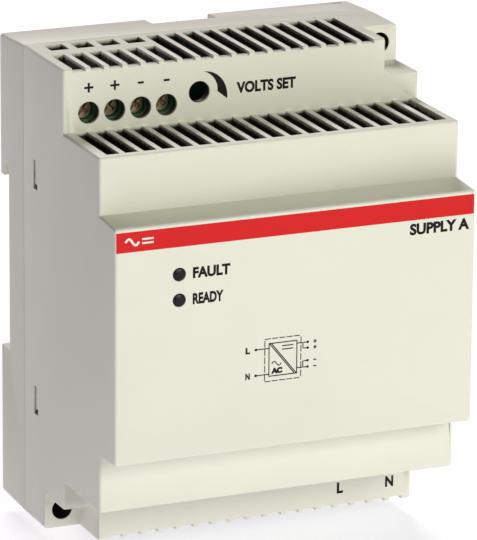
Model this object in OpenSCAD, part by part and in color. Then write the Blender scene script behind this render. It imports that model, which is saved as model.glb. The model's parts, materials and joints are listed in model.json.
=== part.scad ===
// DIN-rail power supply in a stepped modular housing, with its clip, screw
// terminals, adjuster, lamps and circuit board as separate pieces.
// Millimetres. X runs across the front, +Y points to the rail behind the case
// and +Z is up. The origin is on the face that the rail bears on, at the
// rail's centre line and at mid width.

/* [Case] */
// Width across the front
case_w = 71; // [70:0.5:72]
// Overall height
case_h = 91; // [90:0.5:92]
// Thickness of the moulded walls
wall = 2.0; // [1.6:0.1:2.2]
// Depth of the rear base, from the back plane
base_d = 12.2; // [11.8:0.1:12.4]
// Depth of the terminal shoulders
shoulder_d = 32.4; // [32:0.1:34]
// Depth of the middle step
middle_d = 50; // [49.5:0.1:52]
// Overall depth, to the front panel
front_d = 57.5; // [57.5:0.1:60]
// Height of the terminal shoulder at each end
shoulder_h = 12; // [11.5:0.1:12]
// Height of the raised front panel
panel_h = 45; // [44:0.5:46]
// Draft on the front panel's top and bottom
panel_draft = 0.3; // [0:0.05:0.4]

/* [Rail] */
// Height of the rail's centre line above the case's underside
rail_z = 48.3; // [48.1:0.1:48.5]
// Height of the rail
rail_h = 35; // [35]
// Depth of the face that the rail bears on
seat_d = 4.5; // [4.4:0.1:4.6]
// Thickness of the fixed hook over the rail's upper flange
hook_t = 2.1; // [1.9:0.1:2.3]
// How far the fixed hook covers the rail's upper flange
hook_grip = 2.3; // [2.1:0.1:2.5]
// Width of the channel that the rail clip slides in
channel_w = 13; // [12.6:0.1:13.4]

/* [Clip] */
// Travel of the rail clip when it is pulled down
clip_travel = 3.5; // [3:0.1:3.5]
// Clearance round the clip
clip_gap = 0.3; // [0.3:0.05:0.4]
// Wire diameter of the clip's spring
spring_wire = 0.45; // [0.4:0.05:0.5]
// Turns of the clip's spring
spring_turns = 8; // [6:1:9]

/* [Vents] */
// Distance between two vent slots
vent_pitch = 3.59; // [3.5:0.01:3.6]
// Width of a vent slot
vent_w = 2.45; // [2.2:0.05:2.5]
// Slots in the top of a terminal shoulder
shoulder_vents = 17; // [10:1:17]
// Short slots, beside the wire entries
short_vents = 6; // [6]
// Slots in the top of the middle step
middle_vents = 19; // [12:1:19]

/* [Terminals] */
// Distance between two terminal poles
pole_pitch = 5.08; // [5.08]
// Distance from the case's side to the first pole
first_pole = 5.0; // [5:0.05:5.2]
// Distance from the case's end to the screw axes
pole_end = 8.5; // [8.5:0.05:8.7]
// Radius of the holes over the terminal screws
driver_r = 2.05; // [2:0.05:2.1]
// Travel of a wire clamp
clamp_travel = 2.5; // [2:0.1:2.5]

/* [Fixing] */
// Distance from the case's side and end to a wall screw
ear_inset = 3.5; // [3.5]
// Radius of the wall screw holes
ear_hole_r = 2.0; // [1.8:0.1:2]
// Side of the square pocket round a wall screw
ear_pocket = 7; // [6.8:0.1:7]
// Depth of the pocket's floor
ear_floor_d = 22.5; // [22:0.5:24]

/* [Indicators] */
// Distance of the lamps from the case's left side
lamp_x = 12.4; // [12:0.1:13]
// Heights of the two lamps
lamp_z = [58.1, 53.3];
// Radius of a lamp's lens
lens_r = 1.2; // [1.1:0.05:1.3]
// Distance of the voltage adjuster from the left side
trim_x = 26.7; // [26.5:0.1:27.3]
// Height of the voltage adjuster
trim_z = 84.3; // [84:0.1:84.4]

/* [Hidden] */
$fn = 48;
fine = 0.01;
cut = 1;
half_w = case_w / 2;
in_w = case_w - 2 * wall;
seam = 0.07;
rear_top_d = base_d - seam;
cover_d = base_d + seam;
mid_z = case_h / 2;
panel_z0 = (case_h - panel_h) / 2;
panel_z1 = panel_z0 + panel_h;
rail_lo = rail_z - rail_h / 2;
rail_hi = rail_z + rail_h / 2;
ledge_z = rail_lo - 1.0;
hook_z = rail_hi - hook_grip;
hook_top = rail_hi + 0.3;
floor_d = seat_d + wall;
base_draft = 0.6;
// Circuit board
board_t = 1.6;
board_d = base_d - 0.2;
board_back = board_d - board_t;
board_w = 64;
board_z0 = 3.2;
board_h = case_h - 2 * board_z0;
board_holes = [[-26, 10], [14, 8], [-28, 72], [28.5, 72]];
screw_r = 1.45;
screw_head_r = 2.75;
post_r = 3.0;
// Snap latches that hold the cover
latch_h = 5.5;
latch_z = [21.3, 65];
latch_d = 17.2;
latch_len = 2.0;
latch_slit = 0.4;
latch_under = 0.8;
arm_t = 1.4;
// Clip
clip_w = channel_w - 2 * clip_gap;
groove_w = channel_w + 3.6;
groove_d = 2.3;
clip_z0 = 0.8;
clip_top = ledge_z - clip_gap;
clip_back = 0.5;
nose_d = seat_d - 1.4;
stop_z = 6;
stop_h = 2;
spring_r = 1.2;
spring_z1 = 20;
spring_mid_d = 2.5;
// Terminals, as depths from the back plane
body_front = 30.2;
chamber_front = 25.2;
head_seat = 26.8;
clamp_back = 13.2;
clamp_len = 9.4;
wire_d0 = 14.2;
wire_d1 = 18.4;
wire_w = 3.5;
bar_d = 18.5;
bar_t = 1.0;
shank_r = 1.42;
running = 0.08;
body_end = 2.0;
body_h = 9.8;
entry_front = 20.5;
front_top = 2.7;
poles_out = [0, 1, 2, 3];
poles_in = [0, 2];
pole_z = case_h - pole_end;
// Lamps
lens_flange = 2.0;
control_x = lamp_x - half_w;
control_t = 1.6;
// Colours
grey = [0.83, 0.82, 0.78];
green = [0.16, 0.42, 0.22];
steel = [0.72, 0.70, 0.66];
copper = [0.72, 0.42, 0.22];
board_green = [0.10, 0.33, 0.18];
black = [0.09, 0.09, 0.10];
aluminium = [0.75, 0.76, 0.78];

// ---- placing -------------------------------------------------------------

// Moves a shape from the case's own corner to the rail's origin.
// Inside, X is centred, Y is minus the depth and Z is the height.
module placed() translate([0, seat_d, -rail_z]) children();

// The case is the same when it is turned upside down, so what is at one end
// is also at the other.
module turned_over() translate([0, 0, case_h]) rotate([0, 180, 0]) children();
module both_ends() {
    children();
    turned_over() children();
}

// A block between two depths, two heights and two X positions.
module block(x, d, z) {
    translate([x[0], -d[1], z[0]]) cube([x[1] - x[0], d[1] - d[0], z[1] - z[0]]);
}
// A block centred on X.
module bar(w, d, z) block([-w / 2, w / 2], d, z);
// A cylinder along the depth.
module rod(r, x, z, d, sides = 48) {
    translate([x, -d[0], z]) rotate([90, 0, 0]) cylinder(r = r, h = d[1] - d[0], $fn = sides);
}
// A side outline, given as [depth, height] points, drawn out along X.
module along_x(w, points) {
    translate([-w / 2, 0, 0]) rotate([90, 0, 90]) linear_extrude(w)
        polygon([for (p = points) [-p[0], p[1]]]);
}
module screw(x, z, d, len) {
    difference() {
        rod(screw_head_r, x, z, [d, d + 1.9]);
        for (a = [0, 90]) translate([x, -d - 1.9, z]) rotate([0, a, 0])
            cube([3.4, 2, 0.7], center = true);
    }
    rod(screw_r, x, z, [d - len, d + fine]);
}

// ---- case ----------------------------------------------------------------

module ear_positions() both_ends()
    translate([half_w - ear_inset, 0, case_h - ear_inset]) children();

module rail_slot() {
    bar(case_w + 2 * cut, [-cut, seat_d], [ledge_z, hook_z]);
    along_x(case_w + 2 * cut, [[hook_t, hook_z - fine], [hook_t, hook_z + 0.2],
        [hook_t + 1, hook_top], [seat_d, hook_top], [seat_d, hook_z - fine]]);
}

module clip_channel() {
    bar(channel_w, [-cut, seat_d], [-cut, ledge_z + cut]);
    bar(groove_w, [groove_d, seat_d], [-cut, ledge_z + cut]);
}

module base_hollow() {
    room_w = groove_w + 2 * wall;
    side = (in_w - room_w) / 2;
    bar(in_w, [floor_d, base_d + cut], [wall, case_h - wall]);
    for (s = [-1, 1]) translate([s * (room_w + side) / 2, 0, 0]) {
        bar(side, [wall, floor_d + cut], [wall, ledge_z - wall]);
        bar(side, [wall, floor_d + cut], [hook_top + wall, case_h - wall]);
    }
    bar(room_w + 2 * cut, [wall, floor_d + cut], [hook_top + wall, case_h - 13]);
}

// Tongues on the rim that stand inside the cover's walls and close the seam.
module tongue(x, z, foot_x, foot_z) {
    block(x, [rear_top_d - 1.5, cover_d + 0.8], z);
    block(foot_x, [rear_top_d - 1.5, rear_top_d - 0.3], foot_z);
}
module tongues() both_ends() {
    side = half_w - wall;
    top = case_h - wall;
    run = [11, case_h - 12];
    tongue([side - 0.9, side - 0.1], run, [side - 0.9, side + fine], run);
    tongue([-10, half_w - 8], [top - 0.9, top - 0.1], [-10, half_w - 8], [top - 0.9, top + fine]);
}

module latch() {
    z0 = latch_under;
    block([half_w - wall - 0.2 - arm_t, half_w - wall - 0.2],
        [floor_d, latch_d + latch_len + 0.8], [z0, latch_h]);
    block([half_w - wall - 0.2 - fine, half_w - 0.25],
        [latch_d + latch_slit, latch_d + latch_len], [z0, latch_h]);
    block([half_w - wall - 0.2 - arm_t, half_w - wall + fine],
        [floor_d, rear_top_d - 1], [z0, latch_h]);
}

module rear_base() color(grey) placed() difference() {
    union() {
        difference() {
            along_x(case_w, [[0, base_draft], [rear_top_d, 0], [rear_top_d, case_h],
                [0, case_h - base_draft]]);
            base_hollow();
        }
        for (p = board_holes) rod(post_r, p[0], p[1], [wall - fine, board_back]);
        ear_positions() rod(ear_inset - 0.1, 0, 0, [wall - fine, rear_top_d]);
        for (s = [0, 1], z = latch_z) mirror([s, 0, 0]) translate([0, 0, z]) latch();
        tongues();
    }
    rail_slot();
    difference() {
        clip_channel();
        bar(2.4, [1.6, seat_d + cut], [stop_z, stop_z + stop_h]);
    }
    bar(channel_w, [-cut, seat_d], [case_h - 11, case_h + cut]);
    for (p = board_holes) rod(screw_r + 0.05, p[0], p[1], [board_back - 3.4, board_back + cut]);
    ear_positions() rod(ear_hole_r, 0, 0, [-cut, base_d + cut]);
}

module cover_outline() along_x(case_w, [
    [cover_d, 0], [shoulder_d, 0], [shoulder_d, shoulder_h], [middle_d, shoulder_h],
    [middle_d, panel_z0 - panel_draft], [front_d, panel_z0 + panel_draft],
    [front_d, panel_z1 - panel_draft], [middle_d, panel_z1 + panel_draft],
    [middle_d, case_h - shoulder_h], [shoulder_d, case_h - shoulder_h],
    [shoulder_d, case_h], [cover_d, case_h]]);

module cover_hollow() {
    bar(in_w, [base_d - cut, shoulder_d - wall], [wall, case_h - wall]);
    bar(in_w, [base_d, middle_d - wall], [shoulder_h + wall, case_h - shoulder_h - wall]);
    bar(in_w, [base_d, front_d - wall], [panel_z0 + wall, panel_z1 - wall]);
}

// Vents and wire entries, drawn for the top end.
module shoulder_slots() {
    notch = 0.7;
    for (i = [0 : shoulder_vents - 1]) {
        x0 = 1.9 - half_w + i * vent_pitch;
        d0 = i < short_vents ? 21.6 : 14;
        block([x0, x0 + vent_w], [d0, shoulder_d - wall], [case_h - wall - cut, case_h + cut]);
        block([x0, x0 + vent_w], [shoulder_d - wall - fine, shoulder_d + cut],
            [case_h - notch, case_h + cut]);
    }
}
module middle_slots() for (i = [0 : middle_vents - 1]) {
    x0 = 2.15 - half_w + i * vent_pitch;
    z1 = case_h - shoulder_h;
    block([x0, x0 + vent_w], [shoulder_d, middle_d - 1.7], [z1 - wall - cut, z1 + cut]);
}
module pole_openings(poles) for (i = poles) {
    x = pole_x(i);
    block([x - wire_w / 2, x + wire_w / 2], [wire_d0, wire_d1], [case_h - wall - cut, case_h + cut]);
    rod(driver_r, x, pole_z, [shoulder_d - wall - cut, shoulder_d + cut]);
}

module front_cover() color(grey) placed() difference() {
    union() {
        difference() {
            cover_outline();
            cover_hollow();
        }
        both_ends() block([half_w - ear_pocket - 1.5, half_w - fine],
            [ear_floor_d - wall, shoulder_d - fine], [case_h - ear_pocket - 1.5, case_h - fine]);
        ear_positions() rod(ear_inset - 0.1, 0, 0, [cover_d, ear_floor_d - fine]);
    }
    both_ends() {
        shoulder_slots();
        middle_slots();
        block([half_w - ear_pocket, half_w + cut], [ear_floor_d, shoulder_d + cut],
            [case_h - ear_pocket, case_h + cut]);
    }
    pole_openings(poles_out);
    turned_over() pole_openings(poles_in);
    rod(driver_r, trim_x - half_w, trim_z, [shoulder_d - wall - cut, shoulder_d + cut]);
    for (z = lamp_z) rod(lens_r + 0.05, control_x, z, [front_d - wall - cut, front_d + cut]);
    for (s = [0, 1], z = latch_z) mirror([s, 0, 0])
        block([half_w - wall - cut, half_w + cut], [latch_d, latch_d + latch_len], [z, z + latch_h]);
    ear_positions() rod(ear_hole_r, 0, 0, [base_d - cut, ear_floor_d + cut]);
}

// ---- rail clip -----------------------------------------------------------

module din_clip() color(black) placed() difference() {
    union() {
        bar(clip_w, [clip_back, seat_d - clip_gap], [clip_z0, clip_top]);
        bar(groove_w - 2 * clip_gap, [groove_d + clip_gap, seat_d - clip_gap],
            [clip_z0 + 3, clip_top]);
        along_x(clip_w, [[clip_back, clip_top - 3], [nose_d, clip_top - 3],
            [nose_d, rail_lo + 1.6], [nose_d - 1, rail_lo + 1.6], [clip_back, clip_top]]);
    }
    bar(3.2, [-cut, seat_d + cut], [stop_z - 0.4, spring_z1 + 0.1]);
    bar(6, [-cut, 2.2], [clip_z0 + 1, clip_z0 + 3]);
}

function on_coil(t, r, z0, lead) = [r * cos(360 * t), r * sin(360 * t), z0 + lead * t];
module clip_spring() {
    sides = 6;
    steps = 14;
    z0 = stop_z + stop_h + spring_wire / 2 + 0.05;
    lead = (spring_z1 - z0 - spring_wire / 2 - 0.05) / spring_turns;
    n = steps * spring_turns;
    rings = [for (i = [0 : n], k = [0 : sides - 1])
        let (c = on_coil(i / steps, spring_r, z0, lead), a = 360 * i / steps, b = 360 * k / sides)
        c + spring_wire / 2 * [cos(a) * cos(b), sin(a) * cos(b), sin(b)]];
    walls = [for (i = [0 : n - 1], k = [0 : sides - 1])
        let (j = (k + 1) % sides)
        [i * sides + k, i * sides + j, (i + 1) * sides + j, (i + 1) * sides + k]];
    ends = [[for (k = [sides - 1 : -1 : 0]) k], [for (k = [0 : sides - 1]) n * sides + k]];
    color(steel) placed() translate([0, -spring_mid_d, 0])
        polyhedron(points = rings, faces = concat(walls, ends));
}

// ---- board ---------------------------------------------------------------

module board_cutouts(grow = 0) {
    both_ends() block([half_w - 9 - grow, half_w], [0, base_d + cut], [case_h - 9 - grow, case_h]);
    for (s = [0, 1], z = latch_z) mirror([s, 0, 0])
        block([half_w - wall - 0.6 - arm_t, half_w], [0, base_d + cut], [z - 0.5, z + latch_h + 0.5]);
}

module insulation_sheet() color([0.86, 0.84, 0.74]) placed() difference() {
    bar(board_w - 1, [8.4, 8.8], [board_z0 + 0.5, case_h - board_z0 - 0.5]);
    board_cutouts(0.5);
    for (p = board_holes) rod(post_r + 0.3, p[0], p[1], [8, 9.2]);
}
module main_board() color(board_green) placed() difference() {
    bar(board_w, [board_back, board_d], [board_z0, board_z0 + board_h]);
    board_cutouts();
    for (p = board_holes) rod(screw_r + 0.15, p[0], p[1], [board_back - cut, board_d + cut]);
}
module board_screws() color(steel) placed() for (p = board_holes) screw(p[0], p[1], board_d, 4.6);

// ---- terminals -----------------------------------------------------------

function pole_x(i) = first_pole - half_w + i * pole_pitch;

module terminal_block(poles, places) difference() {
    x0 = pole_x(0) - pole_pitch / 2;
    z1 = case_h - body_end;
    block([x0, x0 + places * pole_pitch], [board_d, body_front], [z1 - body_h, z1]);
    block([x0 - cut, x0 + places * pole_pitch + cut], [entry_front, body_front + cut],
        [pole_z + front_top, z1 + cut]);
    for (i = poles) translate([pole_x(i), 0, 0]) {
        bar(4.4, [13, chamber_front], [pole_z - 2.3, pole_z + 2.3]);
        bar(wire_w, [wire_d0, wire_d1], [pole_z, z1 + cut]);
        bar(2.7, [bar_d - 0.15, bar_d + bar_t + 0.15], [z1 - body_h - cut, pole_z + 3.6]);
        rod(shank_r + 0.18, 0, pole_z, [chamber_front - cut, head_seat + cut]);
        rod(2.0, 0, pole_z, [head_seat, body_front + cut]);
    }
}
module contact_bars(poles) for (i = poles) translate([pole_x(i), 0, 0]) {
    foot_z = case_h - body_end - body_h - 1.8;
    bar(2.4, [bar_d, bar_d + bar_t], [foot_z, pole_z + 3.5]);
    bar(1.2, [board_d, bar_d + fine], [foot_z, foot_z + 1]);
}
module clamp_screw(i) translate([pole_x(i), 0, pole_z]) {
    head_d = head_seat + 0.1;
    difference() {
        rod(1.85, 0, 0, [head_d, head_d + 2.1]);
        for (a = [35, 125]) translate([0, -head_d - 2.1, 0]) rotate([0, a, 0])
            cube([2.8, 1.6, 0.55], center = true);
    }
    rod(shank_r, 0, 0, [bar_d + bar_t + 0.3, head_d + fine]);
}
module wire_clamp(i) translate([pole_x(i), 0, pole_z]) difference() {
    bar(4.1, [clamp_back, clamp_back + clamp_len], [-2.05, 2.05]);
    bar(3.2, [clamp_back + 1, clamp_back + clamp_len - 2], [-3, 3]);
    rod(shank_r + running, 0, 0, [clamp_back + clamp_len - 3, clamp_back + clamp_len + cut]);
}

module output_terminal_body() color(green) placed() terminal_block(poles_out, 4);
module output_contacts() color(steel) placed() contact_bars(poles_out);
module output_screw_1() color(steel) placed() clamp_screw(poles_out[0]);
module output_screw_2() color(steel) placed() clamp_screw(poles_out[1]);
module output_screw_3() color(steel) placed() clamp_screw(poles_out[2]);
module output_screw_4() color(steel) placed() clamp_screw(poles_out[3]);
module output_clamp_1() color(steel) placed() wire_clamp(poles_out[0]);
module output_clamp_2() color(steel) placed() wire_clamp(poles_out[1]);
module output_clamp_3() color(steel) placed() wire_clamp(poles_out[2]);
module output_clamp_4() color(steel) placed() wire_clamp(poles_out[3]);
module input_terminal_body() color(green) placed() turned_over() terminal_block(poles_in, 3);
module input_contacts() color(steel) placed() turned_over() contact_bars(poles_in);
module input_screw_n() color(steel) placed() turned_over() clamp_screw(poles_in[0]);
module input_screw_l() color(steel) placed() turned_over() clamp_screw(poles_in[1]);
module input_clamp_n() color(steel) placed() turned_over() wire_clamp(poles_in[0]);
module input_clamp_l() color(steel) placed() turned_over() wire_clamp(poles_in[1]);

// ---- adjuster and lamps --------------------------------------------------

trim_top = board_d + 7;
shaft_end = 24;
module trimmer_body() color([0.12, 0.28, 0.60]) placed() translate([trim_x - half_w, 0, trim_z])
    difference() {
        bar(6.6, [board_d, trim_top], [-3.3, 3.3]);
        rod(2.0, 0, 0, [trim_top - 2.6, trim_top + cut]);
    }
module trimmer_shaft() color([0.85, 0.85, 0.82]) placed() translate([trim_x - half_w, 0, trim_z])
    difference() {
        union() {
            rod(1.94, 0, 0, [trim_top - 2.4, trim_top + 0.4]);
            rod(1.6, 0, 0, [trim_top, shaft_end]);
        }
        bar(4, [shaft_end - 1, shaft_end + cut], [-0.35, 0.35]);
    }

module control_board() color(board_green) placed()
    block([control_x - control_t / 2, control_x + control_t / 2], [board_d, 49.5], [44, 65]);
module control_chip() color(black) placed() {
    face = control_x + control_t / 2;
    block([face + 0.2, face + 1.7], [24, 29], [48, 52]);
    for (i = [0 : 3], e = [47.2, 51.9])
        block([face, face + 0.5], [24.4 + i * 1.27, 24.8 + i * 1.27], [e, e + 0.9]);
}
module lamp(z) color([0.70, 0.86, 0.62]) placed() {
    d = 50.4;
    rod(1.5, control_x, z, [d, d + 2.8]);
    rod(1.75, control_x, z, [d, d + 0.8]);
    translate([control_x, -d - 2.8, z]) sphere(r = 1.5);
    for (s = [-1, 1]) translate([control_x + s * (control_t / 2 + 0.25), 0, z])
        bar(0.5, [46, d + fine], [-0.25, 0.25]);
}
module led_low() lamp(lamp_z[0]);
module led_on() lamp(lamp_z[1]);
module lens(z) color(black) placed() {
    rod(lens_r, control_x, z, [front_d - wall - fine, front_d - 0.05]);
    rod(lens_flange, control_x, z, [front_d - wall - 0.8, front_d - wall]);
    intersection() {
        translate([control_x, -front_d + 2.4, z]) sphere(r = 2.7);
        rod(lens_r, control_x, z, [front_d - 0.1, front_d + 1]);
    }
}
module lens_low() lens(lamp_z[0]);
module lens_on() lens(lamp_z[1]);

// ---- input side ----------------------------------------------------------

module disc(x, z, r, t) {
    translate([x, -board_d - r - 1.5, z - t / 2]) cylinder(r = r, h = t);
    for (s = [-1, 1]) translate([x + s * 2.5, 0, z]) bar(0.6, [board_d, board_d + r], [-0.3, 0.3]);
}
module line_fuse() color([0.12, 0.12, 0.12]) placed() {
    rod(4, 28, 17.9, [board_d + 0.6, board_d + 8]);
    for (s = [-1, 1]) rod(0.35, 28 + s * 2.54, 17.9, [board_d, board_d + 1]);
}
module surge_varistor() color([0.15, 0.30, 0.60]) placed() disc(17.5, 17, 5, 4);
module inrush_thermistor() color([0.20, 0.30, 0.22]) placed() disc(5.5, 16.5, 5, 4);
module x_capacitor() color([0.85, 0.72, 0.20]) placed() block([5, 30], [board_d, 26], [22, 30]);
module y_capacitor() color([0.20, 0.42, 0.68]) placed() disc(-21.5, 38, 4, 3);

choke_x = -10;
choke_z = 24;
choke_d = 22.5;
module ring(r_in, r_out, w) translate([choke_x - w / 2, -choke_d, choke_z]) rotate([0, 90, 0])
    difference() {
        cylinder(r = r_out, h = w);
        translate([0, 0, -cut]) cylinder(r = r_in, h = w + 2 * cut);
    }
module choke_sectors() for (s = [-1, 1]) translate([choke_x - 10, -choke_d - 10, choke_z])
    mirror([0, 0, s > 0 ? 0 : 1]) translate([0, 0, 1.6]) cube([20, 20, 12]);
module line_choke_core() color([0.25, 0.26, 0.27]) placed() {
    ring(5, 8.6, 6.4);
    block([choke_x - 3, choke_x + 3], [board_d, choke_d - 8.3], [choke_z - 1.2, choke_z + 1.2]);
}
module line_choke_windings() color(copper) placed() intersection() {
    difference() {
        ring(4.1, 9.5, 8.2);
        ring(4.98, 8.62, 6.44);
    }
    choke_sectors();
}
module bridge_rectifier() color(black) placed() {
    block([9, 25], [board_d + 3, 30], [57, 60.4]);
    for (i = [0 : 3]) block([11.5 + i * 3.6, 12.5 + i * 3.6], [board_d, board_d + 3.1], [58.2, 59.2]);
}
module can(x, z, r, h, vent) color([0.10, 0.12, 0.22]) placed() difference() {
    union() {
        rod(r, x, z, [board_d, board_d + h]);
        rod(r - 0.25, x, z, [board_d + h - fine, board_d + h + 0.3]);
    }
    for (a = [0, 90]) translate([x, -board_d - h - 0.3, z]) rotate([0, a, 0])
        cube([vent, 0.4, 0.4], center = true);
}
module bulk_capacitor() can(20.5, 43, 9, 31, 11);

// ---- power stage ---------------------------------------------------------

sink_x = 30.4;
sink_t = 1.6;
module sink(fins) difference() {
    union() {
        block([sink_x, sink_x + sink_t], [board_d, 44], [29, 62]);
        for (z = fins) block([sink_x - 3, sink_x + fine], [36, 44], [z, z + 1.2]);
    }
    translate([sink_x - cut, -32, 58]) rotate([0, 90, 0]) cylinder(r = 1.3, h = sink_t + 2 * cut);
}
module transistor() {
    z = 58;
    difference() {
        union() {
            block([sink_x - 4.4, sink_x - fine], [19, 28.5], [z - 5, z + 4]);
            block([sink_x - 1.3, sink_x - fine], [28, 35.5], [z - 5, z + 4]);
        }
        translate([sink_x - 5, -32, z]) rotate([0, 90, 0]) cylinder(r = 1.7, h = 6);
    }
    for (i = [-1 : 1]) block([sink_x - 2.6, sink_x - 2.0], [board_d, 19.1],
        [z - 0.4 + i * 2.54, z + 0.4 + i * 2.54]);
}
module primary_heatsink() color(aluminium) placed() sink([30]);
module switching_transistor() color(black) placed() transistor();
module output_heatsink() color(aluminium) placed() mirror([1, 0, 0]) sink([30, 36, 42, 48]);
module output_rectifier() color(black) placed() mirror([1, 0, 0]) transistor();
module heatsink_screws() color(steel) placed() for (s = [0, 1]) mirror([s, 0, 0])
    translate([sink_x - 3.4, -32, 58]) rotate([0, 90, 0]) {
        cylinder(r = 2.4, h = 2);
        cylinder(r = 1.25, h = 3.4 + sink_t);
    }

tf_x = -5;
tf_z = 50;
tf_d0 = 16;
tf_d1 = 42;
module transformer_core() color([0.20, 0.20, 0.21]) placed() translate([tf_x, 0, tf_z]) {
    difference() {
        bar(30, [tf_d0, tf_d1], [-5.5, 5.5]);
        bar(23, [tf_d0 + 4, tf_d1 - 4], [-6.5, 6.5]);
    }
    rod(4.6, 0, 0, [tf_d0 + 3.9, tf_d1 - 3.9]);
}
module transformer_bobbin() color([0.12, 0.13, 0.14]) placed() translate([tf_x, 0, tf_z]) {
    difference() {
        union() {
            rod(5.6, 0, 0, [tf_d0 + 4.2, tf_d1 - 4.2]);
            for (d = [tf_d0 + 4.2, tf_d1 - 5.2]) rod(11.2, 0, 0, [d, d + 1]);
        }
        rod(4.7, 0, 0, [tf_d0, tf_d1]);
    }
    for (s = [-1, 1]) {
        block([-10, 10], [board_d, tf_d0 + 4.6], [min(s * 6, s * 9), max(s * 6, s * 9)]);
    }
}
module transformer_windings() color([0.88, 0.76, 0.25]) placed() translate([tf_x, 0, tf_z])
    difference() {
        rod(10.6, 0, 0, [tf_d0 + 5.2, tf_d1 - 5.2]);
        rod(5.6, 0, 0, [tf_d0, tf_d1]);
    }

// ---- output side ---------------------------------------------------------

module optocoupler() color([0.93, 0.92, 0.88]) placed() {
    block([3.6, 8.2], [board_d + 0.6, board_d + 4], [31.6, 37.6]);
    for (x = [4.2, 7.0], e = [31.0, 37.6]) block([x, x + 0.6], [board_d, board_d + 2], [e, e + 0.6]);
}
module output_choke() color(copper) placed() {
    rod(4, 18, 70, [board_d, board_d + 16]);
    for (d = [board_d + 0.6, board_d + 14.4]) rod(6.4, 18, 70, [d, d + 1.6]);
    for (i = [0 : 7]) rod(5.8, 18, 70, [board_d + 2.6 + i * 1.4, board_d + 3.7 + i * 1.4]);
}
module output_capacitors() for (i = [0 : 2]) can(-17 + i * 11.5, 70, 5, 20, 6);

rear_base();
front_cover();
din_clip();
clip_spring();
insulation_sheet();
main_board();
board_screws();
output_terminal_body();
output_contacts();
output_screw_1();
output_screw_2();
output_screw_3();
output_screw_4();
output_clamp_1();
output_clamp_2();
output_clamp_3();
output_clamp_4();
input_terminal_body();
input_contacts();
input_screw_n();
input_screw_l();
input_clamp_n();
input_clamp_l();
trimmer_body();
trimmer_shaft();
control_board();
control_chip();
led_low();
led_on();
lens_low();
lens_on();
line_fuse();
surge_varistor();
inrush_thermistor();
x_capacitor();
y_capacitor();
line_choke_core();
line_choke_windings();
bridge_rectifier();
bulk_capacitor();
primary_heatsink();
switching_transistor();
output_heatsink();
output_rectifier();
heatsink_screws();
transformer_core();
transformer_bobbin();
transformer_windings();
optocoupler();
output_choke();
output_capacitors();
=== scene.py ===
# %% [markdown]
# # A power supply for a DIN rail
#
# The model comes in as a fixed frame: every part of the real object is already there, at its
# real size, in metres. This lesson gives it its looks. The case gets the soft edges that a
# moulding has, the print goes on its front, and each part inside gets the finish it is made in.
# The frame's axes are X across the front, +Y back to the rail and +Z up.

# %% Load the frame
import json
import math

import bmesh
import bpy
from mathutils import Matrix, Vector


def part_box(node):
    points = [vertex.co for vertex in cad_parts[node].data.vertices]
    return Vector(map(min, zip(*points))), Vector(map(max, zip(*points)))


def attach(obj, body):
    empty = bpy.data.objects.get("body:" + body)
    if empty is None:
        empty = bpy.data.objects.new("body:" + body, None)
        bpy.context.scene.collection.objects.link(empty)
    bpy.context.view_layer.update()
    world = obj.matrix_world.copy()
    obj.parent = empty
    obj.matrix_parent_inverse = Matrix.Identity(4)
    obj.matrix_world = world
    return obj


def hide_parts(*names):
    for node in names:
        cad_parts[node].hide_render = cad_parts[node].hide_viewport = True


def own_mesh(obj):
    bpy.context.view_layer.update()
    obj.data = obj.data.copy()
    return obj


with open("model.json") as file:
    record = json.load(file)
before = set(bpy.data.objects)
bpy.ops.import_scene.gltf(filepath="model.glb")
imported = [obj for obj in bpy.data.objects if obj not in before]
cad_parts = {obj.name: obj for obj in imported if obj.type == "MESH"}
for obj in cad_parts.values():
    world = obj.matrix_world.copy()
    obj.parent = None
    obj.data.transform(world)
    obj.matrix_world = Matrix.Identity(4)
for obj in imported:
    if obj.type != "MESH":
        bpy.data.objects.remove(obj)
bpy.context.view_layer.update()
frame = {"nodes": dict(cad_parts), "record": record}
MM = 0.001

# %% [markdown]
# The case's own measures are read from its two shells, so that everything drawn on it lands
# on a face and not near one. Depths are counted from the back plane towards the front and
# heights from the underside, as a drawing of the case would give them.

# %% The case's measures
cover_lo, cover_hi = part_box("front_cover")
base_lo, base_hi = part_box("rear_base")
case_w = (base_hi.x - base_lo.x) / MM
case_h = (base_hi.z - base_lo.z) / MM
front_d = (base_hi.y - cover_lo.y) / MM
seam_d = (base_hi.y - cover_hi.y) / MM
shoulder_d, middle_d = 32.4, 50.0
shoulder_h, panel_h, panel_draft = 12.0, 45.0, 0.3
half_panel = (case_h - panel_h) / 2
pocket_w, pocket_d = 7.0, 22.5
edge_r = 0.55


def spot(x, d, z):
    """A point of the frame from its distance to the left side, its depth and its height."""
    return Vector((base_lo.x + x * MM, base_hi.y - d * MM, base_lo.z + z * MM))


print(f"case {case_w:.1f} x {front_d:.1f} x {case_h:.1f} mm, seam at {seam_d:.2f} mm")

# %% [markdown]
# ## The camera
#
# A long lens from just under a metre keeps the upright edges nearly parallel, as in a
# catalogue picture. The camera stands to the left of the front and a little above it, and the
# axes are worked out from those two angles, with half a degree of roll.

# %% The camera
azimuth, elevation, roll = math.radians(-23.51), math.radians(16.68), math.radians(0.48)
distance, lens_mm = 0.9031, 323.3
shift_right, shift_up = 0.00084, 0.00277
aim = (spot(0, 0, 0) + spot(case_w, front_d, case_h)) / 2
back = Vector((math.sin(azimuth) * math.cos(elevation), -math.cos(azimuth) * math.cos(elevation),
               math.sin(elevation)))
right = Vector((math.cos(azimuth), math.sin(azimuth), 0))
up = back.cross(right)
right_rolled = right * math.cos(roll) + up * math.sin(roll)
up_rolled = up * math.cos(roll) - right * math.sin(roll)

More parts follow.
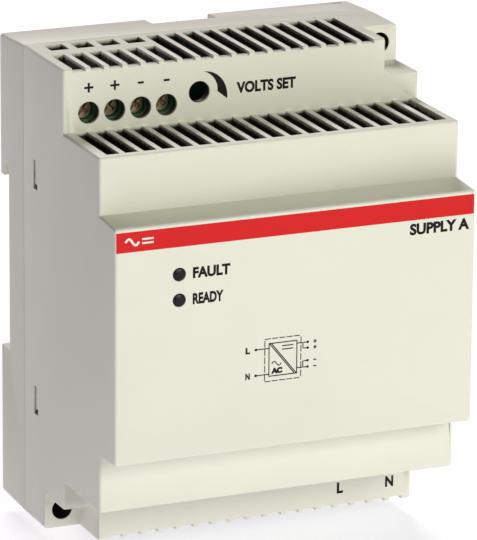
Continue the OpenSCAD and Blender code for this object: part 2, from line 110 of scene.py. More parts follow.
camera_data = bpy.data.cameras.new("camera")
camera_data.lens = lens_mm
camera_data.clip_start, camera_data.clip_end = 0.05, 20
camera = bpy.data.objects.new("camera", camera_data)
bpy.context.collection.objects.link(camera)
axes = Matrix((right_rolled, up_rolled, back)).transposed().to_4x4()
place = aim + back * distance + right_rolled * shift_right + up_rolled * shift_up
camera.matrix_world = Matrix.Translation(place) @ axes
bpy.context.scene.camera = camera
print("camera at", [round(v, 3) for v in place])

# %% [markdown]
# ## The stage
#
# A white floor that glows a little, like a light table, and two large lights. The floor lies a
# little under the case, so that the rail clip stays clear of it when it is pulled down. The key
# light stands in front of the case and a little above it. The top light hangs high behind it,
# so the back of the top is bright and each step shades the ledge in front of it. Nothing is on
# the left but what the floor sends back. So the front is the brightest side, the tops come next
# and the left side falls into a soft shade. The key is faintly yellow and the top light faintly
# pink, which tells the faces apart as two windows would.

# %% The stage
def tint(red, green, blue):
    """A colour as the eye reads it, 0 to 255, turned into the linear values that Blender uses."""
    return [((c / 255 + 0.055) / 1.055) ** 2.4 if c > 10 else c / 255 / 12.92
            for c in (red, green, blue)] + [1.0]


def area_light(name, place, look_at, size, watts, colour):
    data = bpy.data.lights.new(name, "AREA")
    data.shape, data.size, data.size_y = "RECTANGLE", size[0], size[1]
    data.energy, data.color = watts, colour
    light = bpy.data.objects.new(name, data)
    light.location = place
    light.rotation_euler = (Vector(look_at) - Vector(place)).to_track_quat("-Z", "Y").to_euler()
    bpy.context.collection.objects.link(light)


floor_drop = 3.0
floor_mesh = bmesh.new()
bmesh.ops.create_grid(floor_mesh, x_segments=1, y_segments=1, size=6)
bmesh.ops.translate(floor_mesh, vec=(0, 0, base_lo.z - floor_drop * MM), verts=floor_mesh.verts)
floor_data = bpy.data.meshes.new("floor")
floor_mesh.to_mesh(floor_data)
floor_mesh.free()
floor = bpy.data.objects.new("floor", floor_data)
bpy.context.collection.objects.link(floor)
floor_paint = bpy.data.materials.new("floor_paint")
floor_paint.use_nodes = True
floor_look = floor_paint.node_tree.nodes["Principled BSDF"].inputs
floor_look["Base Color"].default_value = tint(190, 190, 190)
floor_look["Roughness"].default_value = 0.9
floor_look["Emission Color"].default_value = (0.96, 0.95, 1.0, 1)
floor_look["Emission Strength"].default_value = 0.66
floor_data.materials.append(floor_paint)

world = bpy.data.worlds.new("white_room")
world.use_nodes = True
world.node_tree.nodes["Background"].inputs["Color"].default_value = (0.95, 0.96, 1.0, 1)
world.node_tree.nodes["Background"].inputs["Strength"].default_value = 0.04
bpy.context.scene.world = world
bpy.context.scene.view_settings.view_transform = "Standard"

area_light("key", (0.45, -1.62, 0.7), aim, (1.2, 0.8), 21.8, (0.94, 1.0, 0.85))
area_light("top", (0.15, 1.0, 1.2), aim, (0.6, 0.6), 16, (1.0, 0.945, 0.965))

# %% [markdown]
# ## Finishes
#
# Some effects come back in several finishes, so each is a node group. `moulded_grain`
# is the fine spark-eroded texture that a plastic part takes from its mould: two sizes of
# noise, given out as a height and as a slight change of tone. `drawn_metal` stretches noise
# into the lines that rolling or brushing leaves. `soft_cloud` is the slow change of colour
# over a whole part that keeps a surface from looking like flat paint. `inner_shade` turns a
# mesh's own value for how far inside a wall lies into a mask for painted shade.

# %% Node helpers
def new_group(name, inputs, outputs):
    """An empty shader node group with named float inputs and outputs."""
    group = bpy.data.node_groups.new(name, "ShaderNodeTree")
    for label, value in inputs.items():
        socket = group.interface.new_socket(name=label, in_out="INPUT",
                                            socket_type="NodeSocketFloat")
        socket.default_value = value
    for label in outputs:
        group.interface.new_socket(name=label, in_out="OUTPUT", socket_type="NodeSocketFloat")
    start, end = group.nodes.new("NodeGroupInput"), group.nodes.new("NodeGroupOutput")
    return group, start, end


def add(tree, kind, **settings):
    node = tree.nodes.new(kind)
    for key, value in settings.items():
        setattr(node, key, value)
    return node


def noise(tree, vector, scale, detail=2.0, roughness=0.5):
    node = add(tree, "ShaderNodeTexNoise")
    node.inputs["Detail"].default_value = detail
    node.inputs["Roughness"].default_value = roughness
    tree.links.new(vector, node.inputs["Vector"])
    if isinstance(scale, (int, float)):
        node.inputs["Scale"].default_value = scale
    else:
        tree.links.new(scale, node.inputs["Scale"])
    return node.outputs["Fac"]


def remap(tree, value, low, high, to_low, to_high):
    node = add(tree, "ShaderNodeMapRange")
    tree.links.new(value, node.inputs["Value"])
    labels = ("From Min", "From Max", "To Min", "To Max")
    for label, number in zip(labels, (low, high, to_low, to_high)):
        node.inputs[label].default_value = number
    return node.outputs["Result"]


def combine(tree, operation, first, second):
    node = add(tree, "ShaderNodeMath", operation=operation)
    for socket, value in zip(node.inputs, (first, second)):
        if isinstance(value, (int, float)):
            socket.default_value = value
        else:
            tree.links.new(value, socket)
    return node.outputs[0]


# %% The shared effects
def build_moulded_grain():
    group, start, end = new_group("moulded_grain", {"Scale": 5000.0}, ["Height", "Tone"])
    place = add(group, "ShaderNodeTexCoord").outputs["Object"]
    fine = noise(group, place, start.outputs["Scale"], 3.0, 0.6)
    coarse_scale = combine(group, "MULTIPLY", start.outputs["Scale"], 0.22)
    coarse = noise(group, place, coarse_scale, 2.0)
    height = combine(group, "ADD", fine, combine(group, "MULTIPLY", coarse, 0.6))
    group.links.new(height, end.inputs["Height"])
    group.links.new(remap(group, fine, 0.3, 0.7, 0.0, 1.0), end.inputs["Tone"])
    return group


def build_soft_cloud():
    group, start, end = new_group("soft_cloud", {"Scale": 60.0}, ["Cloud"])
    place = add(group, "ShaderNodeTexCoord").outputs["Object"]
    slow = noise(group, place, start.outputs["Scale"], 4.0, 0.55)
    group.links.new(remap(group, slow, 0.3, 0.7, 0.0, 1.0), end.inputs["Cloud"])
    return group


def build_drawn_metal():
    group, start, end = new_group("drawn_metal", {"Scale": 900.0, "Across": 14.0},
                                  ["Height", "Tone"])
    place = add(group, "ShaderNodeTexCoord").outputs["Object"]
    stretch = add(group, "ShaderNodeCombineXYZ")
    group.links.new(start.outputs["Across"], stretch.inputs["X"])
    stretch.inputs["Y"].default_value = 1.0
    group.links.new(start.outputs["Across"], stretch.inputs["Z"])
    product = add(group, "ShaderNodeVectorMath", operation="MULTIPLY")
    group.links.new(place, product.inputs[0])
    group.links.new(stretch.outputs["Vector"], product.inputs[1])
    lines = noise(group, product.outputs["Vector"], start.outputs["Scale"], 3.0, 0.6)
    group.links.new(lines, end.inputs["Height"])
    group.links.new(remap(group, lines, 0.35, 0.65, 0.0, 1.0), end.inputs["Tone"])
    return group


def build_inner_shade():
    """Painted shade on walls that lie inside, uneven, and full from a little way in."""
    group, start, end = new_group("inner_shade", {"Inside": 0.0}, ["Mask"])
    place = add(group, "ShaderNodeTexCoord").outputs["Object"]
    uneven = remap(group, noise(group, place, 900.0, 3.0), 0.3, 0.7, -0.12, 0.0)
    moved = combine(group, "ADD", start.outputs["Inside"], uneven)
    group.links.new(remap(group, moved, 0.0, 0.32, 0.0, 1.0), end.inputs["Mask"])
    return group


moulded_grain = build_moulded_grain()
inner_shade = build_inner_shade()
soft_cloud = build_soft_cloud()
drawn_metal = build_drawn_metal()
print("node groups:", [g.name for g in bpy.data.node_groups])


# %% [markdown]
# A finish is then a base colour, a second colour that the effects mix in, a range of
# roughness and the depth of the bump. The shader stays in the material itself, and each
# material's name is the finish that a maker would write on the drawing.

# %% A finish
def effect(tree, group, **inputs):
    node = add(tree, "ShaderNodeGroup", node_tree=group)
    for label, value in inputs.items():
        node.inputs[label].default_value = value
    return node


def mix_colours(tree, mask, first, second):
    node = add(tree, "ShaderNodeMix", data_type="RGBA")
    tree.links.new(mask, node.inputs["Factor"])
    sockets = [s for s in node.inputs if s.type == "RGBA"]
    for socket, value in zip(sockets, (first, second)):
        if isinstance(value, (list, tuple)):
            socket.default_value = value
        else:
            tree.links.new(value, socket)
    return [s for s in node.outputs if s.type == "RGBA"][0]


def shade(colour, factor):
    return [c * factor for c in colour[:3]] + [1.0]


def finish(name, colour, second=None, group=None, grain=5000.0, rough=(0.45, 0.6), depth=0.004,
           metallic=0.0, coat=0.0, gloss=0.5):
    """A material from one base colour, a grain and a slow cloud of tone."""
    material = bpy.data.materials.new(name)
    material.use_nodes = True
    tree = material.node_tree
    shader = tree.nodes["Principled BSDF"]
    grained = effect(tree, group or moulded_grain, Scale=grain)
    clouded = effect(tree, soft_cloud)
    slow = mix_colours(tree, clouded.outputs["Cloud"], shade(colour, 0.97), colour)
    fine_mask = remap(tree, grained.outputs["Tone"], 0.0, 1.0, 0.0, 0.35)
    final = mix_colours(tree, fine_mask, slow, second or shade(colour, 0.92))
    tree.links.new(final, shader.inputs["Base Color"])
    roughness = remap(tree, grained.outputs["Tone"], 0.0, 1.0, *rough)
    tree.links.new(roughness, shader.inputs["Roughness"])
    bump = add(tree, "ShaderNodeBump")
    bump.inputs["Strength"].default_value = 0.35
    bump.inputs["Distance"].default_value = depth * MM
    tree.links.new(grained.outputs["Height"], bump.inputs["Height"])
    tree.links.new(bump.outputs["Normal"], shader.inputs["Normal"])
    shader.inputs["Metallic"].default_value = metallic
    shader.inputs["Coat Weight"].default_value = coat
    shader.inputs["Specular IOR Level"].default_value = gloss
    return material


def paint_shade_inside(material, dark):
    """Paints shade: mixes a dark colour in where a mesh's own attribute says a wall lies inside."""
    tree = material.node_tree
    colour = tree.nodes["Principled BSDF"].inputs["Base Color"]
    inside = add(tree, "ShaderNodeAttribute", attribute_name="inside").outputs["Fac"]
    shaded = effect(tree, inner_shade)
    tree.links.new(inside, shaded.inputs["Inside"])
    final = mix_colours(tree, shaded.outputs["Mask"], colour.links[0].from_socket, dark)
    tree.links.new(final, colour)


case_plastic = finish("case_plastic", tint(233, 229, 219), tint(224, 219, 208), grain=3600.0,
                      rough=(0.42, 0.58), depth=0.03)
# Painted shade: a dark brown mixed into the case's colour on the walls that lie inside.
paint_shade_inside(case_plastic, tint(38, 29, 30))
red_paint = finish("red_paint", tint(219, 20, 22), tint(204, 14, 18), grain=5200.0,
                   rough=(0.35, 0.5), depth=0.02, gloss=0.25)
black_print = finish("black_print", tint(16, 14, 16), tint(11, 10, 12), grain=5200.0,
                     rough=(0.5, 0.65), depth=0.02, gloss=0.2)
white_print = finish("white_print", tint(240, 238, 232), grain=5200.0, rough=(0.4, 0.55),
                     depth=0.02)

# %% [markdown]
# ## The case
#
# A moulded case has no sharp edges, and the way light rolls over its edges is most of what
# makes it look real. The two shells are too finely slotted to bevel edge by edge, so each is
# a merged copy of the CAD shell cut to a block of the same outline whose outer edges are
# already round. Where a vent runs over an edge, its ribs then end in small round noses, as
# they do on the mould. A second, tiny bevel softens the rims of the slots.

# %% Helpers for the shells
def new_piece(name, bm, *materials):
    """A piece from a bmesh: smooth, with its sharp edges marked, at the frame's origin."""
    mesh = bpy.data.meshes.new(name)
    bm.to_mesh(mesh)
    bm.free()
    for material in materials:
        mesh.materials.append(material)
    mesh.shade_smooth()
    mesh.set_sharp_from_angle(angle=math.radians(40))
    piece = bpy.data.objects.new(name, mesh)
    bpy.context.collection.objects.link(piece)
    return piece


def merged_copy(node):
    """A bmesh of a CAD node with its loose triangles joined into whole flat faces."""
    bm = bmesh.new()
    bm.from_mesh(frame["nodes"][node].data)
    bmesh.ops.remove_doubles(bm, verts=bm.verts, dist=1e-6)
    bmesh.ops.dissolve_limit(bm, angle_limit=math.radians(0.5), verts=bm.verts, edges=bm.edges)
    return bm


def rounded_block(outline, width, radius, seam, seam_radius=0.15, slack=0.002):
    """A block from a side outline of [depth, height] points, a hair larger than the CAD shell.
    Its outer edges are round, and those on the seam between the two shells are only eased."""
    bm = bmesh.new()
    side = (case_w - width) / 2
    face = bm.faces.new([bm.verts.new(spot(side, d, z)) for d, z in outline])
    grown = bmesh.ops.extrude_face_region(bm, geom=[face])
    far_side = [g for g in grown["geom"] if isinstance(g, bmesh.types.BMVert)]
    bmesh.ops.translate(bm, vec=(width * MM, 0, 0), verts=far_side)
    bmesh.ops.recalc_face_normals(bm, faces=bm.faces)
    for vert in bm.verts:
        vert.co += vert.normal * vert.calc_shell_factor() * slack * MM
    seam_y = spot(0, seam, 0).y

    def on_seam(edge):
        return all(abs(v.co.y - seam_y) < 2 * slack * MM for v in edge.verts)

    def round_off(edges, offset, segments):
        bmesh.ops.bevel(bm, geom=edges, offset=offset * MM, segments=segments, profile=0.5,
                        affect="EDGES", material=-1)

    round_off([e for e in bm.edges if e.is_convex and not on_seam(e)], radius, 5)
    round_off([e for e in bm.edges if on_seam(e)], seam_radius, 2)
    return bm


def cut_to(piece, bm, scale=1000):
    """Keeps what a piece and a closed bmesh have in common, worked out in millimetres."""
    tool = new_piece("cutting_block", bm)
    for thing in (piece, tool):
        thing.data.transform(Matrix.Scale(scale, 4))
    cut = piece.modifiers.new("cut", "BOOLEAN")
    cut.operation, cut.solver, cut.object = "INTERSECT", "EXACT", tool
    graph = bpy.context.evaluated_depsgraph_get()
    result = bpy.data.meshes.new_from_object(piece.evaluated_get(graph))
    piece.modifiers.clear()
    old, piece.data = piece.data, result
    name = old.name
    bpy.data.meshes.remove(old)
    bpy.data.objects.remove(tool)
    result.name = name
    result.transform(Matrix.Scale(1 / scale, 4))


def soften(piece, width, segments=2, limit=50):
    """A live bevel on every edge sharper than the limit, shaded so that flat faces stay flat."""
    bevel = piece.modifiers.new("soft_rims", "BEVEL")
    bevel.width, bevel.segments = width * MM, segments
    bevel.limit_method, bevel.angle_limit = "ANGLE", math.radians(limit)
    bevel.use_clamp_overlap = False
    bevel.harden_normals = True


# %% [markdown]
# Behind the vents little light comes back out of a real case, so its inner walls lie in deep
# shade, and that shade is painted into the case's colour. Each point of the shells carries a
# value for it, 0 on the outside and 1 from about 2 mm in. For the cover it is worked out from
# the stepped block that the cover fills: a point is as deep inside as it is in the deepest of
# the three steps. The two corner pockets are open, so they count as outside. A value runs
# evenly between two points of a face, so a face that goes from outside to inside is cut where
# it does.

# %% How far inside a point lies
bevel_w, base_floor_d = 0.25, 6.6
dark_from, pocket_skin = 1.6, 0.8
near = 0.1


def inset(point):
    """The distance in millimetres from a point of the cover to the outside of the stepped block,
    less the width of the bevels."""
    x = (point.x - base_lo.x) / MM
    d = (base_hi.y - point.y) / MM
    z = (point.z - base_lo.z) / MM
    in_corner = (min(x - case_w, z - case_h) > -pocket_w - near or max(x, z) < pocket_w + near)
    if d > pocket_d - near and in_corner:
        return 0.0
    ends = min(z, case_h - z)
    panel_top = half_panel - panel_draft + 2 * panel_draft * (d - middle_d) / (front_d - middle_d)
    deepest = max(min(shoulder_d - d, ends), min(middle_d - d, ends - shoulder_h),
                  min(front_d - d, ends - panel_top))
    return min(deepest, x, case_w - x) - bevel_w


def base_inset(point):
    """The same for the rear base, which is open to the inside from its floor to its rim."""
    x, z = (point.x - base_lo.x) / MM, (point.z - base_lo.z) / MM
    return min((base_hi.y - point.y) / MM - base_floor_d, x, case_w - x, z, case_h - z) - bevel_w


def mark_inside(piece, depth_in):
    """Cuts the piece's faces where they pass from outside to inside and stores the values."""
    bm = bmesh.new()
    bm.from_mesh(piece.data)
    for place, across in ((spot(0, 0, shoulder_h), (0, 0, 1)),
                          (spot(0, 0, case_h - shoulder_h), (0, 0, 1)),
                          (spot(0, pocket_d - pocket_skin, 0), (0, 1, 0))):
        bmesh.ops.bisect_plane(bm, geom=bm.verts[:] + bm.edges[:] + bm.faces[:],
                               plane_co=place, plane_no=across, dist=1e-6)
    bm.to_mesh(piece.data)
    bm.free()
    values = [max(0.0, min(1.0, depth_in(v.co) / dark_from)) for v in piece.data.vertices]
    piece.data.attributes.new("inside", "FLOAT", "POINT").data.foreach_set("value", values)
    print(piece.name, "points inside:", sum(v > 0 for v in values), "of", len(values))


# %% The front cover
lower_outline = [
    (seam_d, 0), (shoulder_d, 0), (shoulder_d, shoulder_h), (middle_d, shoulder_h),
    (middle_d, half_panel - panel_draft), (front_d, half_panel + panel_draft)]
cover_outline = lower_outline + [(d, case_h - z) for d, z in reversed(lower_outline)]
cover = new_piece("cover_shell", merged_copy("front_cover"))
cut_to(cover, rounded_block(cover_outline, case_w, edge_r, seam_d))
cover.data.materials.clear()
cover.data.materials.append(case_plastic)
mark_inside(cover, inset)
print("cover:", len(cover.data.polygons), "faces")

# %% The rear base
seam_gap, draft = 0.14, 0.6
rim_d = seam_d - seam_gap
base_outline = [(0, draft), (rim_d, 0), (rim_d, case_h), (0, case_h - draft)]
base = new_piece("base_shell", merged_copy("rear_base"))
cut_to(base, rounded_block(base_outline, case_w, edge_r, rim_d))
base.data.materials.clear()
base.data.materials.append(case_plastic)
mark_inside(base, base_inset)
print("base:", len(base.data.polygons), "faces")

# %% [markdown]
# The cut took off what stands forward of the base's rim: its four snap latches and the tongues
# that close the seam from inside. They are the part of the same copy in front of that plane, so
# one bisection gives them all. The latches' hooks fill the little windows in the case's sides.

# %% The snap latches
latches_mesh = merged_copy("rear_base")
everything = latches_mesh.verts[:] + latches_mesh.edges[:] + latches_mesh.faces[:]
bmesh.ops.bisect_plane(latches_mesh, geom=everything, plane_co=spot(0, rim_d + 0.01, 0),
                       plane_no=(0, 1, 0), clear_outer=True)
bmesh.ops.holes_fill(latches_mesh, edges=[e for e in latches_mesh.edges if e.is_boundary])
latches = new_piece("snap_latches", latches_mesh, case_plastic)
for shell in (cover, base, latches):
    soften(shell, 0.1)
    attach(shell, "case")
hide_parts("front_cover")
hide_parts("rear_base")
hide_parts("rear_base")

# %% [markdown]
# ## Finishes of the other parts
#
# Each material slot of the record gets a finish of its own. The metals use the drawn lines in
# place of the moulded grain, and so does the lacquer on the wound wire.

# %% The other finishes
finishes = {
    "case_plastic": case_plastic,
    "black_plastic": finish("black_plastic", tint(48, 48, 51), tint(38, 38, 42), rough=(0.4, 0.55),
                            depth=0.02),
    "steel": finish("zinc_plated_steel", tint(196, 194, 188), tint(170, 168, 162),
                    group=drawn_metal, grain=700.0, rough=(0.28, 0.42), metallic=1.0, depth=0.01),
    # Yellow zinc plating in its own colour, flecked with a dark brown that is painted shade from
    # the deep screw holes.
    "screw_steel": finish("zinc_steel_painted_shade", tint(184, 160, 136), tint(66, 48, 40),
                          group=drawn_metal, grain=500.0, rough=(0.25, 0.4), metallic=1.0,
                          depth=0.01),
    "tinned_brass": finish("tinned_brass", tint(205, 200, 186), tint(180, 170, 150),
                           group=drawn_metal, grain=500.0, rough=(0.3, 0.45), metallic=1.0,
                           depth=0.01),
    "insulation": finish("vulcanised_fibre", tint(214, 208, 186), tint(196, 188, 160), grain=2600.0,
                         rough=(0.7, 0.85), depth=0.03),
    "board": finish("solder_mask", tint(24, 62, 42), tint(18, 50, 34), grain=1800.0,
                    rough=(0.3, 0.45), depth=0.01, coat=0.3),
    "terminal_green": finish("terminal_green", tint(40, 108, 72), tint(30, 84, 56),
                             rough=(0.45, 0.6), depth=0.02),
    "blue_plastic": finish("trimmer_blue", tint(44, 92, 170), rough=(0.4, 0.5), depth=0.01),
    "white_plastic": finish("white_nylon", tint(228, 226, 216), rough=(0.4, 0.55), depth=0.01),
    "lamp_resin": finish("lamp_resin", tint(176, 208, 160), rough=(0.12, 0.2), depth=0.002,
                         coat=0.4),
    "lens_black": finish("smoked_lens", tint(14, 12, 16), tint(10, 9, 12), rough=(0.25, 0.35),
                         depth=0.002, gloss=0.25),
    "blue_resin": finish("dipped_epoxy", tint(42, 96, 176), grain=1500.0, rough=(0.2, 0.32),
                         depth=0.01),
    "dark_resin": finish("dipped_silicone", tint(58, 74, 60), grain=1500.0, rough=(0.5, 0.7),
                         depth=0.02),
    "yellow_plastic": finish("capacitor_box", tint(222, 184, 70), rough=(0.35, 0.5), depth=0.01),
    "ferrite": finish("ground_ferrite", tint(58, 58, 61), tint(44, 44, 47), grain=2400.0,
                      rough=(0.5, 0.7), depth=0.03),
    "copper_wire": finish("copper_lacquer", tint(190, 108, 62), tint(150, 78, 42),
                          group=drawn_metal, grain=300.0, rough=(0.22, 0.34), metallic=0.9,
                          depth=0.02),
    "capacitor_sleeve": finish("shrink_sleeve", tint(34, 38, 62), tint(26, 30, 50), grain=1200.0,
                               rough=(0.2, 0.32), depth=0.01),
    "aluminium": finish("punched_aluminium", tint(206, 208, 210), tint(186, 188, 190),
                        group=drawn_metal, grain=600.0, rough=(0.3, 0.45), metallic=1.0,
                        depth=0.01),
    "winding_tape": finish("polyester_tape", tint(226, 196, 70), tint(210, 176, 56), grain=900.0,
                           rough=(0.25, 0.4), depth=0.01, coat=0.2),
}
node_slot = {entry["node"]: entry["material_slot"] for entry in frame["record"]["subparts"]}
for name, part in frame["nodes"].items():
    part.data.materials.clear()
    part.data.materials.append(finishes[node_slot[name]])
print(len(finishes), "finishes on", len(node_slot), "nodes")

# %% [markdown]
# The turned and moulded parts inside are right as they come, but their edges are razor sharp.
# A merged copy with a small live bevel takes the place of each one that can be seen through a
# hole or a vent.

# %% Softened copies
def softened_copy(node, body, width, segments=2):
    slot = node_slot[node]
    piece = new_piece(node + "_piece", merged_copy(node), finishes[slot])
    soften(piece, width, segments)
    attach(piece, body)
    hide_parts(node)
    return piece


softened_copy("din_clip", "rail_clip", 0.2, 3)

# %% [markdown]
# The clip's spring stands on a stop of the case and is pressed together as the clip is pulled
# down. Its copy rides on the case and gets a mesh of its own.

# %% The clip's spring
spring = softened_copy("clip_spring", "case", 0.05)
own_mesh(spring)

# %% [markdown]
# ## The print
#
# The marks are pad-printed ink, so each is a very thin closed solid that stands a hundredth
# of a millimetre proud of the face it is on. The stripe is wider than the flat of the panel:
# it follows the round edge a little way on both sides, so its path is a line with an arc at
# each end, and that path is raised to the stripe's height and given its thickness.

# %% The red stripe
ink = 0.012
stripe_z = (63.25, 67.0)


def painted_band(name, low, high, wrap, material):
    bm = bmesh.new()
    lift = ink / 2
    steps = 6
    arc = [math.radians(wrap * i / steps) for i in range(steps + 1)]
    reach = edge_r + lift
    corner = [(edge_r - reach * math.sin(a), front_d - edge_r + reach * math.cos(a))
              for a in reversed(arc)]
    path = corner + [(case_w - x, d) for x, d in reversed(corner)]
    verts = [bm.verts.new(spot(x, d, low)) for x, d in path]
    edges = [bm.edges.new(pair) for pair in zip(verts, verts[1:])]
    grown = bmesh.ops.extrude_edge_only(bm, edges=edges)
    top = [g for g in grown["geom"] if isinstance(g, bmesh.types.BMVert)]
    bmesh.ops.translate(bm, vec=(0, 0, (high - low) * MM), verts=top)
    bmesh.ops.recalc_face_normals(bm, faces=bm.faces)
    bmesh.ops.solidify(bm, geom=bm.faces[:], thickness=ink * MM)
    bmesh.ops.recalc_face_normals(bm, faces=bm.faces)
    piece = new_piece(name, bm, material)
    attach(piece, "case")


painted_band("red_stripe", *stripe_z, 32, red_paint)
print("stripe:", stripe_z)

# %% [markdown]
# The signs are built from bars, dots, waves and a wedge, and the few words from Blender's own
# type. All of them are drawn flat, joined into one bmesh for each face of the case and then
# given the same thin body. A sign's place is given by its distance from the left side and its
# height.

# %% Pens for the signs
class Ink:
    """A bmesh that collects flat signs on one face of the case, all at one depth."""

    def __init__(self, depth):
        self.bm = bmesh.new()
        self.depth = depth

    def bar(self, x0, z0, x1, z1, width):
        """A straight stroke with square ends from one point to another."""
        start, end = Vector((x0, z0)), Vector((x1, z1))
        along = (end - start).normalized() * width / 2
        side = Vector((-along.y, along.x))
        corners = [start - side, end - side, end + side, start + side]
        self.bm.faces.new([self.bm.verts.new(spot(c.x, self.depth, c.y)) for c in corners])

    def dot(self, x, z, radius):
        made = bmesh.ops.create_circle(self.bm, cap_ends=True, radius=radius * MM, segments=24)
        turn = Matrix.Translation(spot(x, self.depth, z)) @ Matrix.Rotation(math.pi / 2, 4, "X")
        bmesh.ops.transform(self.bm, matrix=turn, verts=made["verts"])

    def wedge(self, x, z, start, inner_end, outer_end, steps=20):
        """A curved wedge round a point. Its edges start together and end apart, and each end
        is given as a radius and an angle."""
        rows = []
        for i in range(steps + 1):
            row = []
            for end in (inner_end, outer_end):
                radius, angle = (a + (b - a) * i / steps for a, b in zip(start, end))
                across = radius * math.cos(math.radians(angle))
                rise = radius * math.sin(math.radians(angle))
                row.append(self.bm.verts.new(spot(x + across, self.depth, z + rise)))
            rows.append(row)
        for (a, b), (c, d) in zip(rows, rows[1:]):
            self.bm.faces.new([a, b, d, c])

    def plus_or_minus(self, sign, x, z, reach, rise, width):
        self.bar(x - reach, z, x + reach, z, width)
        if sign == "+":
            self.bar(x, z + width / 2, x, z + rise, width)
            self.bar(x, z - rise, x, z - width / 2, width)

    def wave(self, x, z, length, height, width, steps):
        """One turn of a sine wave as a stroke of even width, from its left end."""
        points = [Vector((x + length * i / steps, z + height * math.sin(math.tau * i / steps)))
                  for i in range(steps + 1)]
        rows = []
        for before, point, after in zip(points[:1] + points, points, points[1:] + points[-1:]):
            along = (after - before).normalized()
            side = Vector((-along.y, along.x)) * width / 2
            rows.append([self.bm.verts.new(spot(p.x, self.depth, p.y))
                         for p in (point - side, point + side)])
        for (a, b), (c, d) in zip(rows, rows[1:]):
            self.bm.faces.new([a, b, d, c])

    def word(self, text, x, z, height, width, weight=0.14):
        """A word in Blender's own type, its left edge at x and its middle at z, made to a width."""
        curve = bpy.data.curves.new("word", "FONT")
        curve.body, curve.size, curve.offset, curve.resolution_u = text, height * 1.37, weight, 4
        holder = bpy.data.objects.new("word", curve)
        bpy.context.collection.objects.link(holder)
        mesh = bpy.data.meshes.new_from_object(holder)
        xs, ys = [v.co.x for v in mesh.vertices], [v.co.y for v in mesh.vertices]
        tall = height / (max(ys) - min(ys))
        wide = width / (max(xs) - min(xs))
        mesh.transform(Matrix.Translation((-min(xs), -(min(ys) + max(ys)) / 2, 0)))
        mesh.transform(Matrix.Diagonal((wide * MM, tall * MM, MM, 1)))
        upright = Matrix.Rotation(math.pi / 2, 4, "X")
        mesh.transform(Matrix.Translation(spot(x, self.depth, z)) @ upright)
        self.bm.from_mesh(mesh)
        bpy.data.objects.remove(holder)
        bpy.data.meshes.remove(mesh)

    def finish(self, name, material):
        """Gives the signs their thin body and makes them a piece on the case."""
        bmesh.ops.remove_doubles(self.bm, verts=self.bm.verts, dist=1e-7)
        bmesh.ops.recalc_face_normals(self.bm, faces=self.bm.faces)
        for face in self.bm.faces:
            if face.normal.y > 0:
                face.normal_flip()
        grown = bmesh.ops.extrude_face_region(self.bm, geom=self.bm.faces[:], use_keep_orig=True)
        lifted = [g for g in grown["geom"] if isinstance(g, bmesh.types.BMVert)]
        bmesh.ops.translate(self.bm, vec=(0, -ink * MM, 0), verts=lifted)
        bmesh.ops.recalc_face_normals(self.bm, faces=self.bm.faces)
        piece = new_piece(name, self.bm, material)
        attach(piece, "case")


# %% Signs on the upper terminal shoulder
first_pole, pole_pitch = 5.0, 5.08
signs = Ink(shoulder_d)
for index, sign in enumerate("++--"):
    reach = 0.9 if sign == "+" else 0.6
    signs.plus_or_minus(sign, first_pole + index * pole_pitch, 87.2, reach, reach, 0.42)
signs.wedge(26.7, 84.3, (3.9, 76), (3.6, -2), (5.8, -17))
signs.word("VOLTS SET", 34.1, 84.4, 2.2, 11.9)
signs.finish("shoulder_signs", black_print)

# %% Signs on the lower terminal shoulder
signs = Ink(shoulder_d)
signs.word("L", 55.5, 4.0, 2.2, 1.3)
signs.word("N", 65.6, 4.0, 2.2, 1.7)
signs.finish("lower_signs", black_print)

# %% [markdown]
# The drawing on the panel is the common sign for a converter: a box with a slash, a wave for
# the alternating current that goes in, two bars for the direct current that comes out, and the
# terminals on both sides as dots on short lines. The box has a dashed one round it.

# %% Signs on the front panel
signs = Ink(front_d)
signs.word("FAULT", 15.0, 58.15, 2.1, 7.3)
signs.word("READY", 15.0, 53.3, 2.1, 6.0)
signs.word("SUPPLY A", 57.8, 61.5, 2.2, 12.0)

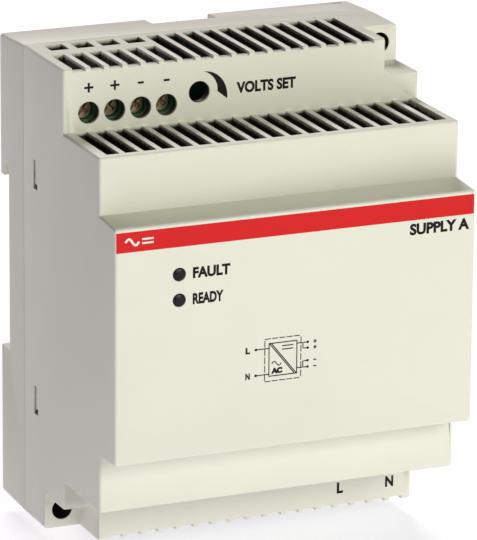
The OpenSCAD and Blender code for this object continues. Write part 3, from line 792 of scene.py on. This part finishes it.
box_x, box_z = (30.05, 35.55), (36.9, 43.1)
line = 0.2
for z in box_z:
    signs.bar(box_x[0] - line / 2, z, box_x[1] + line / 2, z, line)
for x in box_x:
    signs.bar(x, box_z[0] + line / 2, x, box_z[1] - line / 2, line)
for slash_x in (box_x[0] + 0.15, box_x[0] + 0.51):
    signs.bar(slash_x, box_z[1] - 0.1, slash_x + 4.84, box_z[0] + 0.1, line)
for z in (41.75, 42.4):
    signs.bar(32.6, z, 34.8, z, 0.22)
signs.wave(30.6, 39.2, 1.9, 0.4, 0.2, 12)
signs.word("AC", 30.5, 37.85, 1.15, 2.2)


def dashes(start, end, dash=1.3, gap=0.28, width=0.18):
    """A broken line between two points, made of whole dashes."""
    start, end = Vector(start), Vector(end)
    count = round(((end - start).length + gap) / (dash + gap))
    step = (end - start) / count
    for i in range(count):
        a = start + step * i
        b = a + step * dash / (dash + gap)
        signs.bar(a.x, a.y, b.x, b.y, width)


frame_x, frame_z = (29.2, 36.35), (35.95, 44.0)
for z in frame_z:
    dashes((frame_x[0], z), (frame_x[1], z))
for x in frame_x:
    dashes((x, frame_z[0] + 0.2), (x, frame_z[1]))
for letter, z in (("L", 42.2), ("N", 37.3)):
    signs.word(letter, 25.4, z, 1.25, 0.9, weight=0.1)
    signs.dot(27.45, z, 0.27)
    signs.bar(27.7, z, box_x[0] - line / 2, z, line)
for sign, heights in (("+", (42.55, 41.45)), ("-", (39.05, 37.85))):
    signs.bar(36.75, heights[0], 36.75, heights[1], line)
    inner = heights[0] if sign == "+" else heights[1]
    signs.bar(box_x[1] + line / 2, inner, 36.65, inner, line)
    for z in heights:
        signs.bar(36.85, z, 37.5, z, line)
        signs.dot(37.7, z, 0.25)
        signs.plus_or_minus(sign, 39.15, z, 0.3, 0.34, 0.24)
signs.finish("panel_signs", black_print)

# %% A plain white mark on the stripe
signs = Ink(front_d + ink)
signs.wave(2.0, 65.1, 2.6, 0.62, 0.42, 16)
for z in (64.75, 65.5):
    signs.bar(5.2, z, 7.4, z, 0.34)
signs.finish("stripe_mark", white_print)
print("signs printed")

# %% [markdown]
# ## The parts behind the holes
#
# The screw heads, the terminal block and the lamp lenses are what the eye finds when it looks
# into the holes, so they get soft edges too.

# %% Behind the holes
for number in (1, 2, 3, 4):
    softened_copy(f"output_screw_{number}", f"output_screw_{number}", 0.1)
for pole in "nl":
    softened_copy(f"input_screw_{pole}", f"input_screw_{pole}", 0.1)
for node in ("output_terminal_body", "input_terminal_body", "lens_low", "lens_on"):
    softened_copy(node, "case", 0.08)
